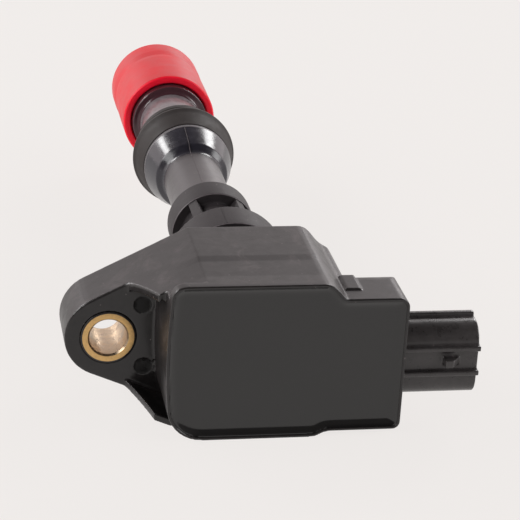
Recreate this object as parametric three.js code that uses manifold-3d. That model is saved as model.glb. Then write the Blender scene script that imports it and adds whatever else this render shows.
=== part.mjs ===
// Plug-top ignition coil, in millimetres.
//
// The coil is modelled in its own working frame: the plug tower's axis is the z axis, z = 0 is the rim
// of the potted head, the tower runs to -z and the connector points to +x. "Depth" means -z. The last
// group turns this frame so that the coil lies on the long lower wall of its head, tower to +Y.

import * as THREE from "three";
import { mergeVertices } from "three/addons/utils/BufferGeometryUtils.js";
import Module from "manifold-3d";

const wasm = await Module();
wasm.setup();

// ---------------------------------------------------------------- driving dimensions

const GAP = 0.3; // clearance between pieces that touch in the real coil
const ROUND = 36; // facets of a visible round piece
const FINE = 9; // facets of each curve in a visible outline
const COARSE = 3; // facets of each curve in a hidden outline

// Head case.
const HEAD_LEFT = -15.8;
const HEAD_RIGHT = 17.0;
const HEAD_TOP = 11.5;
const HEAD_BOTTOM = -18.4;
const HEAD_DEPTH = 27.8;
const WALL = 1.3;
const FLOOR = 1.6;
const RIM_DEPTH = 2.4;
const MOUTH = { wall: 0.55, depth: 2.0 }; // the wall is thinner round the head's open mouth
const POTTING_LEVEL = 0.9;
const HEAD_CORNER = 6.5; // lower left corner
const ARC = 0.448; // 1 minus the handle length of a quarter circle's cubic curve

// Narrower block beside the head, which carries the connector and holds the switching module.
const SIDE_RIGHT = 26.85;
const SIDE_TOP = 8.55;
const SIDE_BOTTOM = -17.35;
const SIDE_DEPTH = 13.7;
const SIDE_BACK_RADIUS = 5.0;

// Mounting ear and its bush.
const BUSH = { x: -24.74, y: -5.3, outer: 4.8, bore: 3.45, proud: 0.2 };
const EAR_RADIUS = 8.0;
const EAR_FACE_DEPTH = 16.4;
const EAR_RIB = 1.3;
const EAR_RIB_TOP_DEPTH = 6.0;
const EAR_RIB_START = -21.6; // where the walls begin to climb from the ear's face, and where they are full
const EAR_RIB_FULL = -17.2;

// Three-pin connector.
const PLUG = { end: 41.0, top: 1.6, bottom: -12.25, near: 2.4, far: 13.4, wall: 1.2, floor: 29.0 };
const PIN = { pitch: 3.6, width: 2.2, thickness: 0.64, tip: 34.6, root: 23.8 };
const PLUG_CORNERS = [3.0, 3.0, 5.0, 3.6]; // near-lower, far-lower, far-upper, near-upper
const RIDGES = [[-2.93, -1.98], [-7.75, -6.8]]; // the shroud's two guide ridges, low and high y
const RIDGE_HEIGHT = 1.0;
const RIDGE_OVERHANG = 0.35;
const LATCH = { left: 34.5, crest: 36.0, right: 37.5, height: 1.9, y: -4.9 };
const PLUG_MIDDLE_Y = (PLUG.top + PLUG.bottom) / 2;
const PLUG_MIDDLE_DEPTH = (PLUG.near + PLUG.far) / 2;

// Transformer inside the head.
const TRANSFORMER = { x: 0.5, y: -3.5, depth: 14.5 };
const CORE = { halfX: 12.4, halfY: 11.6, leg: 3.0, stack: 7.0, barY: 5.8, barZ: 6.8, magnet: 0.9 };
const PRIMARY = { length: 16.0, tubeWall: 0.5, flange: 0.7, flangeY: 10.8, flangeZ: 11.8 };
const SECONDARY = { length: 17.2, sections: 5, flange: 0.6, flangeY: 16.6, flangeZ: 18.0, tubeWall: 0.6 };

// High-voltage tower, its seal and the plug boot (radius, depth).
const TOWER_BORE = 3.6;
const TOWER_END = 134.0;
const TUBE_RADIUS = 6.22;
const TUBE_FAR_RADIUS = 7.0;
const COLLAR = { radius: 11.4, near: 29.75, far: 38.1 };
const RING = { radius: 8.55, near: 52.4, far: 59.2 };
const FLANGE = { radius: 9.47, near: 83.2, far: 91.0 };
const SKIRT = { radius: 11.17, far: 97.8 };
const BOOT = { near: 121.7, far: 147.4, nearRadius: 10.5, farRadius: 10.6, lipBore: 8.75, plugBore: 6.1 };
const SPRING = { near: 58.4, far: 132.6, radius: 2.55, wire: 0.45, turns: 18 };
const TIP = { near: 133.0, far: 139.0, radius: 2.9 };

// ---------------------------------------------------------------- helpers

const toSolid = (geometry) => {
  geometry.deleteAttribute("normal");
  geometry.deleteAttribute("uv");
  const merged = mergeVertices(geometry, 1e-4);
  return new wasm.Manifold(
    new wasm.Mesh({
      numProp: 3,
      vertProperties: new Float32Array(merged.attributes.position.array),
      triVerts: new Uint32Array(merged.index.array),
    }),
  );
};

const toGeometry = (solid) => {
  const mesh = solid.getMesh();
  const geometry = new THREE.BufferGeometry();
  geometry.setAttribute("position", new THREE.BufferAttribute(mesh.vertProperties, 3));
  geometry.setIndex(new THREE.BufferAttribute(mesh.triVerts, 1));
  geometry.computeVertexNormals();
  return geometry;
};

// A box between two corners.
const block = (x0, x1, y0, y1, depth0, depth1) => {
  const geometry = new THREE.BoxGeometry(x1 - x0, y1 - y0, depth1 - depth0);
  geometry.translate((x0 + x1) / 2, (y0 + y1) / 2, -(depth0 + depth1) / 2);
  return toSolid(geometry);
};

// An outline in x and y, pushed from one depth to another.
const sink = (shape, depth0, depth1) => {
  const geometry = new THREE.ExtrudeGeometry(shape, {
    depth: depth1 - depth0,
    bevelEnabled: false,
    curveSegments: FINE,
  });
  geometry.translate(0, 0, -depth1);
  return toSolid(geometry);
};

// An outline in depth and y, pushed along x.
const pushX = (shape, x0, x1, curveSegments = FINE) => {
  const geometry = new THREE.ExtrudeGeometry(shape, {
    depth: x1 - x0,
    bevelEnabled: false,
    curveSegments,
  });
  geometry.translate(0, 0, x0);
  geometry.rotateY(Math.PI / 2);
  return toSolid(geometry);
};

// An outline in x and depth, pushed along y.
const pushY = (shape, y0, y1) => {
  const geometry = new THREE.ExtrudeGeometry(shape, {
    depth: y1 - y0,
    bevelEnabled: false,
    curveSegments: FINE,
  });
  geometry.rotateX(-Math.PI / 2);
  geometry.translate(0, y0, 0);
  return toSolid(geometry);
};

// A profile of [radius, depth] points, turned about the tower's axis. A profile that stays clear of
// the axis is closed on itself.
const turn = (profile, facets = ROUND) => {
  const points = profile.map(([radius, depth]) => new THREE.Vector2(radius, depth));
  if (profile[0][0] > 0) points.push(points[0].clone());
  const area = points.reduce((sum, p, i) => {
    const q = points[(i + 1) % points.length];
    return sum + p.x * q.y - q.x * p.y;
  }, 0);
  if (area < 0) points.reverse();
  const geometry = new THREE.LatheGeometry(points, facets);
  geometry.rotateX(-Math.PI / 2);
  return toSolid(geometry);
};

// A turned piece about an axis beside the tower's.
const turnAt = (x, y, profile, facets = ROUND) => turn(profile, facets).translate([x, y, 0]);

// A rectangle with its own radius at each corner: low-low, high-low, high-high, low-high.
const roundedBox = (a0, a1, b0, b1, radii) => {
  const [r0, r1, r2, r3] = radii;
  const shape = new THREE.Shape();
  shape.moveTo(a0 + r0, b0);
  shape.lineTo(a1 - r1, b0);
  if (r1 > 0) shape.bezierCurveTo(a1 - r1 * ARC, b0, a1, b0 + r1 * ARC, a1, b0 + r1);
  shape.lineTo(a1, b1 - r2);
  if (r2 > 0) shape.bezierCurveTo(a1, b1 - r2 * ARC, a1 - r2 * ARC, b1, a1 - r2, b1);
  shape.lineTo(a0 + r3, b1);
  if (r3 > 0) shape.bezierCurveTo(a0 + r3 * ARC, b1, a0, b1 - r3 * ARC, a0, b1 - r3);
  shape.lineTo(a0, b0 + r0);
  if (r0 > 0) shape.bezierCurveTo(a0, b0 + r0 * ARC, a0 + r0 * ARC, b0, a0 + r0, b0);
  return shape;
};

// A rectangular sleeve round the transformer's axis, which runs along x.
const sleeve = (x0, x1, outerY, outerZ, innerY, innerZ, radius = 1) => {
  const { x, y, depth } = TRANSFORMER;
  const ring = (sizeY, sizeZ, r) =>
    roundedBox(depth - sizeZ / 2, depth + sizeZ / 2, y - sizeY / 2, y + sizeY / 2, [r, r, r, r]);
  const outer = pushX(ring(outerY, outerZ, radius), x + x0, x + x1, COARSE);
  return outer.subtract(pushX(ring(innerY, innerZ, 0.3), x + x0 - 1, x + x1 + 1, COARSE));
};

const material = (colour, roughness, metalness = 0) =>
  new THREE.MeshStandardMaterial({ color: colour, roughness, metalness });

const MATERIALS = {
  case: material(0x2a2726, 0.5),
  potting: material(0x302f2e, 0.2),
  tower: material(0x332f30, 0.45),
  seal: material(0x24201e, 0.85),
  boot: material(0xd8232f, 0.5),
  brass: material(0xc39a4e, 0.35, 1),
  steel: material(0x8c8f92, 0.4, 1),
  core: material(0x55585c, 0.5, 1),
  magnet: material(0x3a3a3d, 0.5, 1),
  bobbin: material(0xd9d3c2, 0.6),
  copper: material(0xa85a2a, 0.4, 1),
  fineCopper: material(0x8c3f1f, 0.45, 1),
  module: material(0x1c1c1e, 0.6),
  aluminium: material(0xb9bcc0, 0.4, 1),
  tin: material(0xbfc0c2, 0.3, 1),
  ceramic: material(0xcfc9b8, 0.6),
};

const coil = new THREE.Group();

const add = (name, solid, finish) => {
  const mesh = new THREE.Mesh(toGeometry(solid), MATERIALS[finish]);
  mesh.name = name;
  coil.add(mesh);
};

// ---------------------------------------------------------------- head case

// Outline of the main part of the head. The right wall steps down to the side block in an S.
const headOutline = () => {
  const shape = new THREE.Shape();
  const hold = HEAD_CORNER * ARC;
  shape.moveTo(HEAD_LEFT + HEAD_CORNER, HEAD_BOTTOM);
  shape.lineTo(10.2, HEAD_BOTTOM);
  shape.bezierCurveTo(12.2, HEAD_BOTTOM, 12.0, SIDE_BOTTOM, 14.2, SIDE_BOTTOM);
  shape.lineTo(HEAD_RIGHT, SIDE_BOTTOM);
  shape.lineTo(HEAD_RIGHT, 7.7);
  shape.quadraticCurveTo(HEAD_RIGHT, 8.3, HEAD_RIGHT - 0.6, 8.3);
  shape.bezierCurveTo(14.3, 8.3, 14.1, HEAD_TOP, 11.3, HEAD_TOP);
  shape.lineTo(HEAD_LEFT + 3, HEAD_TOP);
  shape.quadraticCurveTo(HEAD_LEFT, HEAD_TOP, HEAD_LEFT, HEAD_TOP - 3);
  shape.quadraticCurveTo(HEAD_LEFT - 0.9, -2.8, HEAD_LEFT, HEAD_BOTTOM + HEAD_CORNER);
  shape.bezierCurveTo(
    HEAD_LEFT, HEAD_BOTTOM + hold, HEAD_LEFT + hold, HEAD_BOTTOM, HEAD_LEFT + HEAD_CORNER, HEAD_BOTTOM,
  );
  return shape;
};

// Outline of the side block, shrunk by margin; it starts inside the head.
const sideOutline = (margin) => {
  const radii = [0, Math.max(1.5 - margin, 0.3), Math.max(1.9 - margin, 0.3), 0];
  return roundedBox(HEAD_RIGHT - 4, SIDE_RIGHT - margin, SIDE_BOTTOM + margin, SIDE_TOP - margin, radii);
};

// Moves every point of an outline inwards by the same distance, and drops those that crossed over
// in a corner tighter than the distance.
const inset = (shape, distance) => {
  const raw = shape.getPoints(FINE);
  const points = raw.filter((point, i) => point.distanceTo(raw[(i + 1) % raw.length]) > 1e-4);
  const turnSign = THREE.ShapeUtils.isClockWise(points) ? -1 : 1;
  const moved = points.map((point, i) => {
    const before = points[(i + points.length - 1) % points.length];
    const after = points[(i + 1) % points.length];
    const into = point.clone().sub(before).normalize();
    const out = after.clone().sub(point).normalize();
    const normal = new THREE.Vector2(-into.y - out.y, into.x + out.x).multiplyScalar(turnSign).normalize();
    const square = new THREE.Vector2(-into.y, into.x).multiplyScalar(turnSign);
    return point.clone().addScaledVector(normal, distance / Math.max(normal.dot(square), 0.5));
  });
  const edges = points.map((point, i) => {
    const start = new THREE.Vector3(point.x, point.y, 0);
    const next = points[(i + 1) % points.length];
    return new THREE.Line3(start, new THREE.Vector3(next.x, next.y, 0));
  });
  const nearest = new THREE.Vector3();
  const clear = (point) => {
    const place = new THREE.Vector3(point.x, point.y, 0);
    const away = (edge) => edge.closestPointToPoint(place, true, nearest).distanceTo(place);
    return edges.every((edge) => away(edge) > distance - 0.002);
  };
  return new THREE.Shape(moved.filter(clear));
};

const EAR_TOP_ANGLE = THREE.MathUtils.degToRad(27);
const EAR_BOTTOM_ANGLE = THREE.MathUtils.degToRad(-23);

// Behind the rim the head's upper left corner is cut back to the line of the ear's upper edge.
const cornerCut = (margin) => {
  const slope = Math.tan(EAR_TOP_ANGLE);
  const reach = EAR_RADIUS - margin;
  const touchX = BUSH.x - reach * Math.sin(EAR_TOP_ANGLE);
  const touchY = BUSH.y + reach * Math.cos(EAR_TOP_ANGLE);
  const lineY = (x) => touchY + (x - touchX) * slope;
  const outside = new THREE.Shape();
  outside.moveTo(-20, lineY(-20));
  outside.lineTo(-2, lineY(-2));
  outside.lineTo(-2, 20);
  outside.lineTo(-20, 20);
  return sink(outside, RIM_DEPTH - margin, HEAD_DEPTH + 1);
};

// The head filled solid, shrunk on all sides by margin; the near side stays open to the rim.
const headFill = (margin, top, bottomMargin) => {
  const depth = HEAD_DEPTH - bottomMargin;
  const sideDepth = SIDE_DEPTH - bottomMargin;
  const corner = 4.5 - margin;
  const plan = roundedBox(HEAD_LEFT - 8, HEAD_RIGHT - margin, top, depth, [0, 0, corner, 0]);
  const main = sink(inset(headOutline(), margin), top, depth).intersect(pushY(plan, -40, 40));
  const back = SIDE_BACK_RADIUS - margin;
  const section = roundedBox(top, sideDepth, SIDE_BOTTOM - 1, SIDE_TOP - margin, [0, 1, back, 0]);
  const side = sink(sideOutline(margin), top, sideDepth).intersect(pushX(section, -10, 60));
  return main.add(side).subtract(cornerCut(margin));
};

// Outline of the ear: a round tip, and two straight edges tangent to it that run into the head.
const earOutline = (margin) => {
  const radius = EAR_RADIUS - margin;
  const upper = EAR_TOP_ANGLE + Math.PI / 2;
  const lower = EAR_BOTTOM_ANGLE - Math.PI / 2;
  const from = (angle, slope, y) => {
    const x0 = BUSH.x + radius * Math.cos(angle);
    const y0 = BUSH.y + radius * Math.sin(angle);
    return [x0 + (y - y0) / Math.tan(slope), y];
  };
  const shape = new THREE.Shape();
  const ease = 1.2;
  const [topX, topY] = from(upper, EAR_TOP_ANGLE, HEAD_TOP - margin);
  const [bottomX, bottomY] = from(lower, EAR_BOTTOM_ANGLE, HEAD_BOTTOM + margin);
  shape.moveTo(bottomX, bottomY);
  shape.lineTo(0, bottomY);
  shape.lineTo(0, topY);
  shape.lineTo(topX + ease, topY);
  const endX = topX - ease * Math.cos(EAR_TOP_ANGLE);
  shape.quadraticCurveTo(topX, topY, endX, topY - ease * Math.sin(EAR_TOP_ANGLE));
  shape.absarc(BUSH.x, BUSH.y, radius, upper, lower + Math.PI * 2);
  shape.lineTo(bottomX, bottomY);
  return shape;
};

// The ear is a thick plate with a wall along each edge that climbs towards the head.
const ear = () => {
  const plate = sink(earOutline(0), EAR_FACE_DEPTH, HEAD_DEPTH);
  const walls = sink(earOutline(0), EAR_RIB_TOP_DEPTH, HEAD_DEPTH).subtract(
    sink(earOutline(EAR_RIB), EAR_RIB_TOP_DEPTH - 1, HEAD_DEPTH + 1),
  );
  const climb = new THREE.Shape();
  climb.moveTo(EAR_RIB_START, HEAD_DEPTH);
  climb.lineTo(EAR_RIB_START, EAR_FACE_DEPTH);
  climb.quadraticCurveTo(-19.6, EAR_FACE_DEPTH - 2.6, EAR_RIB_FULL, EAR_RIB_TOP_DEPTH);
  climb.lineTo(-5, EAR_RIB_TOP_DEPTH);
  climb.lineTo(-5, HEAD_DEPTH);
  return plate.add(walls.intersect(pushY(climb, -40, 40)));
};

// Connector shroud: one corner pair is rounder than the other, so a plug fits one way only.
const shroudSection = (margin) =>
  roundedBox(
    PLUG.near + margin,
    PLUG.far - margin,
    PLUG.bottom + margin,
    PLUG.top - margin,
    PLUG_CORNERS.map((radius) => radius - margin * 0.7),
  );

const shroud = () => {
  const ridges = RIDGES.map(([low, high]) =>
    block(SIDE_RIGHT - 1, PLUG.end + RIDGE_OVERHANG, low, high, PLUG.near - RIDGE_HEIGHT, PLUG.near + 1),
  );
  const ribDepths = [PLUG_MIDDLE_DEPTH - 0.6, PLUG_MIDDLE_DEPTH + 0.6];
  const keyRib = block(SIDE_RIGHT - 1, PLUG.end, PLUG.top - 1, PLUG.top + 0.75, ...ribDepths);
  let body = pushX(shroudSection(0), SIDE_RIGHT - 2, PLUG.end);
  for (const piece of [...ridges, keyRib]) body = body.add(piece);
  const latch = new THREE.Shape();
  latch.moveTo(LATCH.left, PLUG.near + 1);
  latch.lineTo(LATCH.left, PLUG.near - LATCH.height);
  latch.lineTo(LATCH.crest, PLUG.near - LATCH.height);
  latch.lineTo(LATCH.right, PLUG.near - 0.1);
  latch.lineTo(LATCH.right, PLUG.near + 1);
  return body.add(pushY(latch, LATCH.y - 0.7, LATCH.y + 0.7));
};

const pinYs = [-1, 0, 1].map((step) => PLUG_MIDDLE_Y + step * PIN.pitch);

const pinBar = (y, margin, x0 = PIN.root, x1 = PIN.tip) =>
  block(
    x0, x1, y - PIN.width / 2 - margin, y + PIN.width / 2 + margin,
    PLUG_MIDDLE_DEPTH - PIN.thickness / 2 - margin, PLUG_MIDDLE_DEPTH + PIN.thickness / 2 + margin,
  );

// The widened space just inside the rim.
const mouth = (margin, near, far) =>
  headFill(margin, near, FLOOR).intersect(block(-50, 50, -50, 50, near, far));

const EJECTOR_MARKS = [[-18.6, 1.0], [-18.2, -11.3]];

const caseBody = () => {
  const sideBridge = block(HEAD_RIGHT - 1, HEAD_RIGHT + 1.7, 2, SIDE_TOP + 0.35, 4.2, 10.4);
  let body = headFill(0, 0, 0).add(ear()).add(sideBridge).add(shroud());
  body = body.subtract(headFill(WALL, -1, FLOOR)).subtract(mouth(MOUTH.wall, -1, MOUTH.depth));
  body = body.subtract(pushX(shroudSection(PLUG.wall), PLUG.floor, PLUG.end + 2));
  const hole = BUSH.outer + GAP;
  body = body.subtract(turnAt(BUSH.x, BUSH.y, [[0, 0], [hole, 0], [hole, 40], [0, 40]]));
  body = body.subtract(turn([[0, 20], [7.2, 20], [7.2, 40], [0, 40]]));
  for (const y of pinYs) body = body.subtract(pinBar(y, GAP, PIN.root, PLUG.floor + 1));
  for (const [x, y] of EJECTOR_MARKS) {
    const recess = [[0, 10], [1.7, 10], [1.7, EAR_FACE_DEPTH + 0.2], [0, EAR_FACE_DEPTH + 0.2]];
    body = body.subtract(turnAt(x, y, recess, 24));
  }
  return body;
};

// The ear is cored out from behind, leaving a boss round the bush and a web to the head.
const earCores = () => {
  const pocket = sink(earOutline(2.2), HEAD_DEPTH - 7, HEAD_DEPTH + 1);
  const keepBoss = turnAt(BUSH.x, BUSH.y, [[0, 0], [7.2, 0], [7.2, 40], [0, 40]]);
  const keepHead = block(HEAD_LEFT - 2.4, 20, -40, 40, 0, 40);
  const keepWeb = block(-40, 0, BUSH.y - 1.0, BUSH.y + 1.0, 0, 40);
  return pocket.subtract(keepBoss).subtract(keepHead).subtract(keepWeb);
};

add("case", caseBody().subtract(earCores()), "case");

// ---------------------------------------------------------------- bush

const bushNear = EAR_FACE_DEPTH - BUSH.proud;
const bushFar = HEAD_DEPTH + BUSH.proud;
add(
  "mounting_bush",
  turnAt(BUSH.x, BUSH.y, [
    [BUSH.bore + 0.3, bushNear],
    [BUSH.outer - 0.15, bushNear],
    [BUSH.outer, bushNear + 0.15],
    [BUSH.outer, bushFar - 0.15],
    [BUSH.outer - 0.15, bushFar],
    [BUSH.bore + 0.3, bushFar],
    [BUSH.bore, bushFar - 0.3],
    [BUSH.bore, bushNear + 0.3],
  ]),
  "brass",
);

// ---------------------------------------------------------------- potting

const pottingBody = () => {
  const { x, y } = TRANSFORMER;
  const fill = headFill(WALL + GAP, POTTING_LEVEL, FLOOR + GAP).add(
    mouth(MOUTH.wall + GAP, POTTING_LEVEL, MOUTH.depth - GAP),
  );
  const around = block(
    x - CORE.halfX - GAP, x + CORE.halfX + GAP, y - CORE.halfY - GAP, y + CORE.halfY + GAP, 4.4, 40,
  );
  const moduleRoom = block(x + CORE.halfX, 23.7, PLUG_MIDDLE_Y - 9.4, PLUG_MIDDLE_Y + 9.4, 4.4, 40);
  let body = fill.subtract(around).subtract(moduleRoom);
  for (const pinY of pinYs) body = body.subtract(pinBar(pinY, GAP, PIN.root - 2, SIDE_RIGHT));
  return body;
};
add("potting_compound", pottingBody(), "potting");

// ---------------------------------------------------------------- transformer

const atTransformer = (x0, x1, y0, y1, z0, z1) => {
  const { x, y, depth } = TRANSFORMER;
  return block(x + x0, x + x1, y + y0, y + y1, depth + z0, depth + z1);
};

const windowX = CORE.halfX - CORE.leg;
const windowY = CORE.halfY - CORE.leg;
const halfStack = CORE.stack / 2;
add(
  "core_outer",
  atTransformer(-CORE.halfX, CORE.halfX, -CORE.halfY, CORE.halfY, -halfStack, halfStack).subtract(
    atTransformer(-windowX, windowX, -windowY, windowY, -halfStack - 1, halfStack + 1),
  ),
  "core",
);
const magnetX = windowX - GAP - CORE.magnet;
add(
  "core_center",
  atTransformer(-windowX + GAP, magnetX - GAP, -CORE.barY / 2, CORE.barY / 2, -CORE.barZ / 2, CORE.barZ / 2),
  "core",
);
add(
  "bias_magnet",
  atTransformer(magnetX, magnetX + CORE.magnet, -CORE.barY / 2, CORE.barY / 2, -CORE.barZ / 2, CORE.barZ / 2),
  "magnet",
);

const primaryHalf = PRIMARY.length / 2;
const primaryHole = [CORE.barY + 2 * GAP, CORE.barZ + 2 * GAP];
const primaryTube = primaryHole.map((size) => size + 2 * PRIMARY.tubeWall);
const primaryFlange = (x) =>
  sleeve(x, x + PRIMARY.flange, PRIMARY.flangeY, PRIMARY.flangeZ, ...primaryHole);
add(
  "primary_bobbin",
  sleeve(-primaryHalf, primaryHalf, ...primaryTube, ...primaryHole, 0.5)
    .add(primaryFlange(-primaryHalf))
    .add(primaryFlange(primaryHalf - PRIMARY.flange)),
  "bobbin",
);
const primaryEnd = primaryHalf - PRIMARY.flange - GAP;
add(
  "primary_winding",
  sleeve(
    -primaryEnd, primaryEnd, PRIMARY.flangeY - 0.4, PRIMARY.flangeZ - 0.4,
    ...primaryTube.map((size) => size + 2 * GAP), 1.2,
  ),
  "copper",
);

const secondaryHalf = SECONDARY.length / 2;
const secondaryHole = [PRIMARY.flangeY + 2 * GAP, PRIMARY.flangeZ + 2 * GAP];
const secondaryTube = secondaryHole.map((size) => size + 2 * SECONDARY.tubeWall);
const sectionPitch = (SECONDARY.length - SECONDARY.flange) / SECONDARY.sections;
const secondaryBobbin = () => {
  let body = sleeve(-secondaryHalf, secondaryHalf, ...secondaryTube, ...secondaryHole);
  for (let i = 0; i <= SECONDARY.sections; i += 1) {
    const x = -secondaryHalf + i * sectionPitch;
    body = body.add(sleeve(x, x + SECONDARY.flange, SECONDARY.flangeY, SECONDARY.flangeZ, ...secondaryHole));
  }
  return body;
};
add("secondary_bobbin", secondaryBobbin(), "bobbin");
for (let i = 0; i < SECONDARY.sections; i += 1) {
  const x0 = -secondaryHalf + i * sectionPitch + SECONDARY.flange + GAP;
  const x1 = x0 + sectionPitch - SECONDARY.flange - 2 * GAP;
  add(
    `secondary_winding_${i + 1}`,
    sleeve(
      x0, x1, SECONDARY.flangeY - 0.8, SECONDARY.flangeZ - 0.8,
      ...secondaryTube.map((size) => size + 2 * GAP), 1.2,
    ),
    "fineCopper",
  );
}

// ---------------------------------------------------------------- switching module and connector pins

const MODULE = { left: 17.4, halfY: 6.5, near: 5.5, far: 9.8 };
const HEAT_SINK = { halfY: 8.0, near: MODULE.far + GAP, far: 11.3 };
const LEAD = { left: 5.0, right: 21.0, offset: 3.0, halfY: 1.0, near: 4.7, far: 5.2 };
const beside = (left, right, y, { halfY, near, far }) => block(left, right, y - halfY, y + halfY, near, far);
const moduleRight = PIN.root - GAP;
add("igniter_module", beside(MODULE.left, moduleRight, PLUG_MIDDLE_Y, MODULE), "module");
add("igniter_heat_sink", beside(MODULE.left, moduleRight, PLUG_MIDDLE_Y, HEAT_SINK), "aluminium");
[-LEAD.offset, LEAD.offset].forEach((offset, i) => {
  add(`primary_lead_${i + 1}`, beside(LEAD.left, LEAD.right, PLUG_MIDDLE_Y + offset, LEAD), "tin");
});
pinYs.forEach((y, i) => {
  add(`connector_pin_${i + 1}`, pinBar(y, 0), "tin");
});

// ---------------------------------------------------------------- high-voltage tower

const WEB_ANGLES = [55, 125, 235, 305];
const WEB_THICKNESS = 1.9;

const towerBody = () => {
  const outside = [
    [6.9, 26.1],
    [6.9, HEAD_DEPTH + GAP],
    [8.4, HEAD_DEPTH + GAP],
    [8.4, COLLAR.near],
    [COLLAR.radius - 0.3, COLLAR.near],
    [COLLAR.radius, COLLAR.near + 0.3],
    [COLLAR.radius, COLLAR.far],
    [TUBE_RADIUS + 0.3, COLLAR.far],
    [TUBE_RADIUS + 0.3, RING.near],
    [RING.radius - 0.2, RING.near],
    [RING.radius, RING.near + 0.2],
    [RING.radius, RING.far - 0.2],
    [RING.radius - 0.2, RING.far],
    [TUBE_RADIUS, RING.far],
    [TUBE_RADIUS, FLANGE.near - 0.6],
    [TUBE_RADIUS + 0.25, FLANGE.near + 0.1],
    [TUBE_RADIUS + 0.75, FLANGE.near + 0.7],
    [TUBE_RADIUS + 1.45, FLANGE.near + 1.1],
    [FLANGE.radius, FLANGE.far - 0.3],
    [FLANGE.radius, FLANGE.far + 0.2],
    [TUBE_FAR_RADIUS, FLANGE.far + 0.2],
    [TUBE_FAR_RADIUS, 121.6],
    [8.35, 123.6],
    [8.35, 127.0],
    [7.4, 127.0],
    [7.4, TOWER_END - 0.8],
    [6.6, TOWER_END],
    [TOWER_BORE, TOWER_END],
    [TOWER_BORE, 30.5],
    [1.3, 30.5],
    [1.3, 26.1],
  ];
  let body = turn(outside);
  for (const angle of WEB_ANGLES) {
    const half = WEB_THICKNESS / 2;
    const web = block(TUBE_RADIUS - 1, RING.radius - 0.25, -half, half, COLLAR.far - 1, RING.near + 1);
    body = body.add(web.rotate([0, 0, angle]));
  }
  return body;
};
add("hv_tower", towerBody(), "tower");

add(
  "hv_terminal",
  turn([
    [0, 24.4],
    [0.9, 24.4],
    [0.9, 30.9],
    [3.2, 30.9],
    [3.2, 32.6],
    [0, 32.6],
  ], 24),
  "brass",
);
const RESISTOR = { near: 32.9, far: 58.0, radius: 2.5, cap: 4.0, capRadius: 3.0 };
add(
  "noise_resistor",
  turn([
    [0, RESISTOR.near + 1.0],
    [RESISTOR.radius, RESISTOR.near + 1.0],
    [RESISTOR.radius, RESISTOR.far - 1.0],
    [0, RESISTOR.far - 1.0],
  ], 24),
  "ceramic",
);
const resistorCap = (closed, open) => {
  const inward = Math.sign(open - closed);
  const bore = RESISTOR.radius + 0.2;
  return turn([
    [0, closed],
    [RESISTOR.capRadius, closed],
    [RESISTOR.capRadius, open],
    [bore, open],
    [bore, closed + inward * 0.7],
    [0, closed + inward * 0.7],
  ], 24);
};
add("resistor_cap_head", resistorCap(RESISTOR.near, RESISTOR.near + RESISTOR.cap), "brass");
add("resistor_cap_plug", resistorCap(RESISTOR.far, RESISTOR.far - RESISTOR.cap), "brass");

// ---------------------------------------------------------------- contact spring and tip

class Helix extends THREE.Curve {
  getPoint(t, target = new THREE.Vector3()) {
    const angle = t * SPRING.turns * Math.PI * 2;
    const run = SPRING.far - SPRING.near - 2 * SPRING.wire;
    const depth = SPRING.near + SPRING.wire + t * run;
    return target.set(SPRING.radius * Math.cos(angle), SPRING.radius * Math.sin(angle), -depth);
  }
}

const springBody = () => {
  const section = new THREE.Shape();
  section.absarc(0, 0, SPRING.wire, 0, Math.PI * 2);
  const geometry = new THREE.ExtrudeGeometry(section, {
    steps: SPRING.turns * 9,
    curveSegments: 3,
    extrudePath: new Helix(),
  });
  return toSolid(geometry);
};
add("contact_spring", springBody(), "steel");

add(
  "contact_tip",
  turn([
    [0, TIP.near],
    [TIP.radius, TIP.near],
    [TIP.radius, TIP.near + 1.4],
    [2.1, TIP.near + 1.9],
    [2.1, TIP.far - 1.2],
    [1.5, TIP.far - 0.3],
    [0.8, TIP.far],
    [0, TIP.far],
  ], 32),
  "brass",
);

// ---------------------------------------------------------------- well seal

add(
  "well_seal",
  turn([
    [TUBE_FAR_RADIUS + GAP, FLANGE.far + 0.6],
    [FLANGE.radius + 0.05, FLANGE.far + 0.6],
    [SKIRT.radius - 0.25, SKIRT.far - 0.9],
    [SKIRT.radius, SKIRT.far - 0.3],
    [SKIRT.radius - 0.1, SKIRT.far + 0.3],
    [SKIRT.radius - 0.7, SKIRT.far + 0.4],
    [9.3, 95.2],
    [9.1, 96.0],
    [9.5, 97.6],
    [9.5, 99.6],
    [9.1, 100.4],
    [9.1, 102.2],
    [9.5, 103.0],
    [9.5, 104.4],
    [8.9, 105.4],
    [TUBE_FAR_RADIUS + GAP, 105.4],
  ]),
  "seal",
);

// ---------------------------------------------------------------- plug boot

add(
  "plug_boot",
  turn([
    [BOOT.lipBore, BOOT.near + 0.5],
    [BOOT.lipBore + 0.45, BOOT.near],
    [BOOT.nearRadius - 0.5, BOOT.near],
    [BOOT.nearRadius, BOOT.near + 0.6],
    [BOOT.nearRadius + 0.02, BOOT.near + 8],
    [BOOT.farRadius - 0.15, BOOT.far - 8.2],
    [BOOT.farRadius, BOOT.far - 6.0],
    [BOOT.farRadius, BOOT.far - 1.4],
    [BOOT.farRadius - 0.45, BOOT.far - 0.4],
    [BOOT.farRadius - 1.3, BOOT.far],
    [BOOT.plugBore + 1.0, BOOT.far],
    [BOOT.plugBore, BOOT.far - 1.0],
    [BOOT.plugBore, BOOT.far - 3.6],
    [BOOT.plugBore - 0.35, BOOT.far - 4.1],
    [BOOT.plugBore, BOOT.far - 4.6],
    [BOOT.plugBore, BOOT.far - 7.0],
    [BOOT.plugBore - 0.35, BOOT.far - 7.5],
    [BOOT.plugBore, BOOT.far - 8.0],
    [BOOT.plugBore, TOWER_END + GAP],
    [7.7, TOWER_END + GAP],
    [7.7, 127.6],
    [BOOT.lipBore, 127.6],
  ]),
  "boot",
);

// ---------------------------------------------------------------- the part's frame

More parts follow.
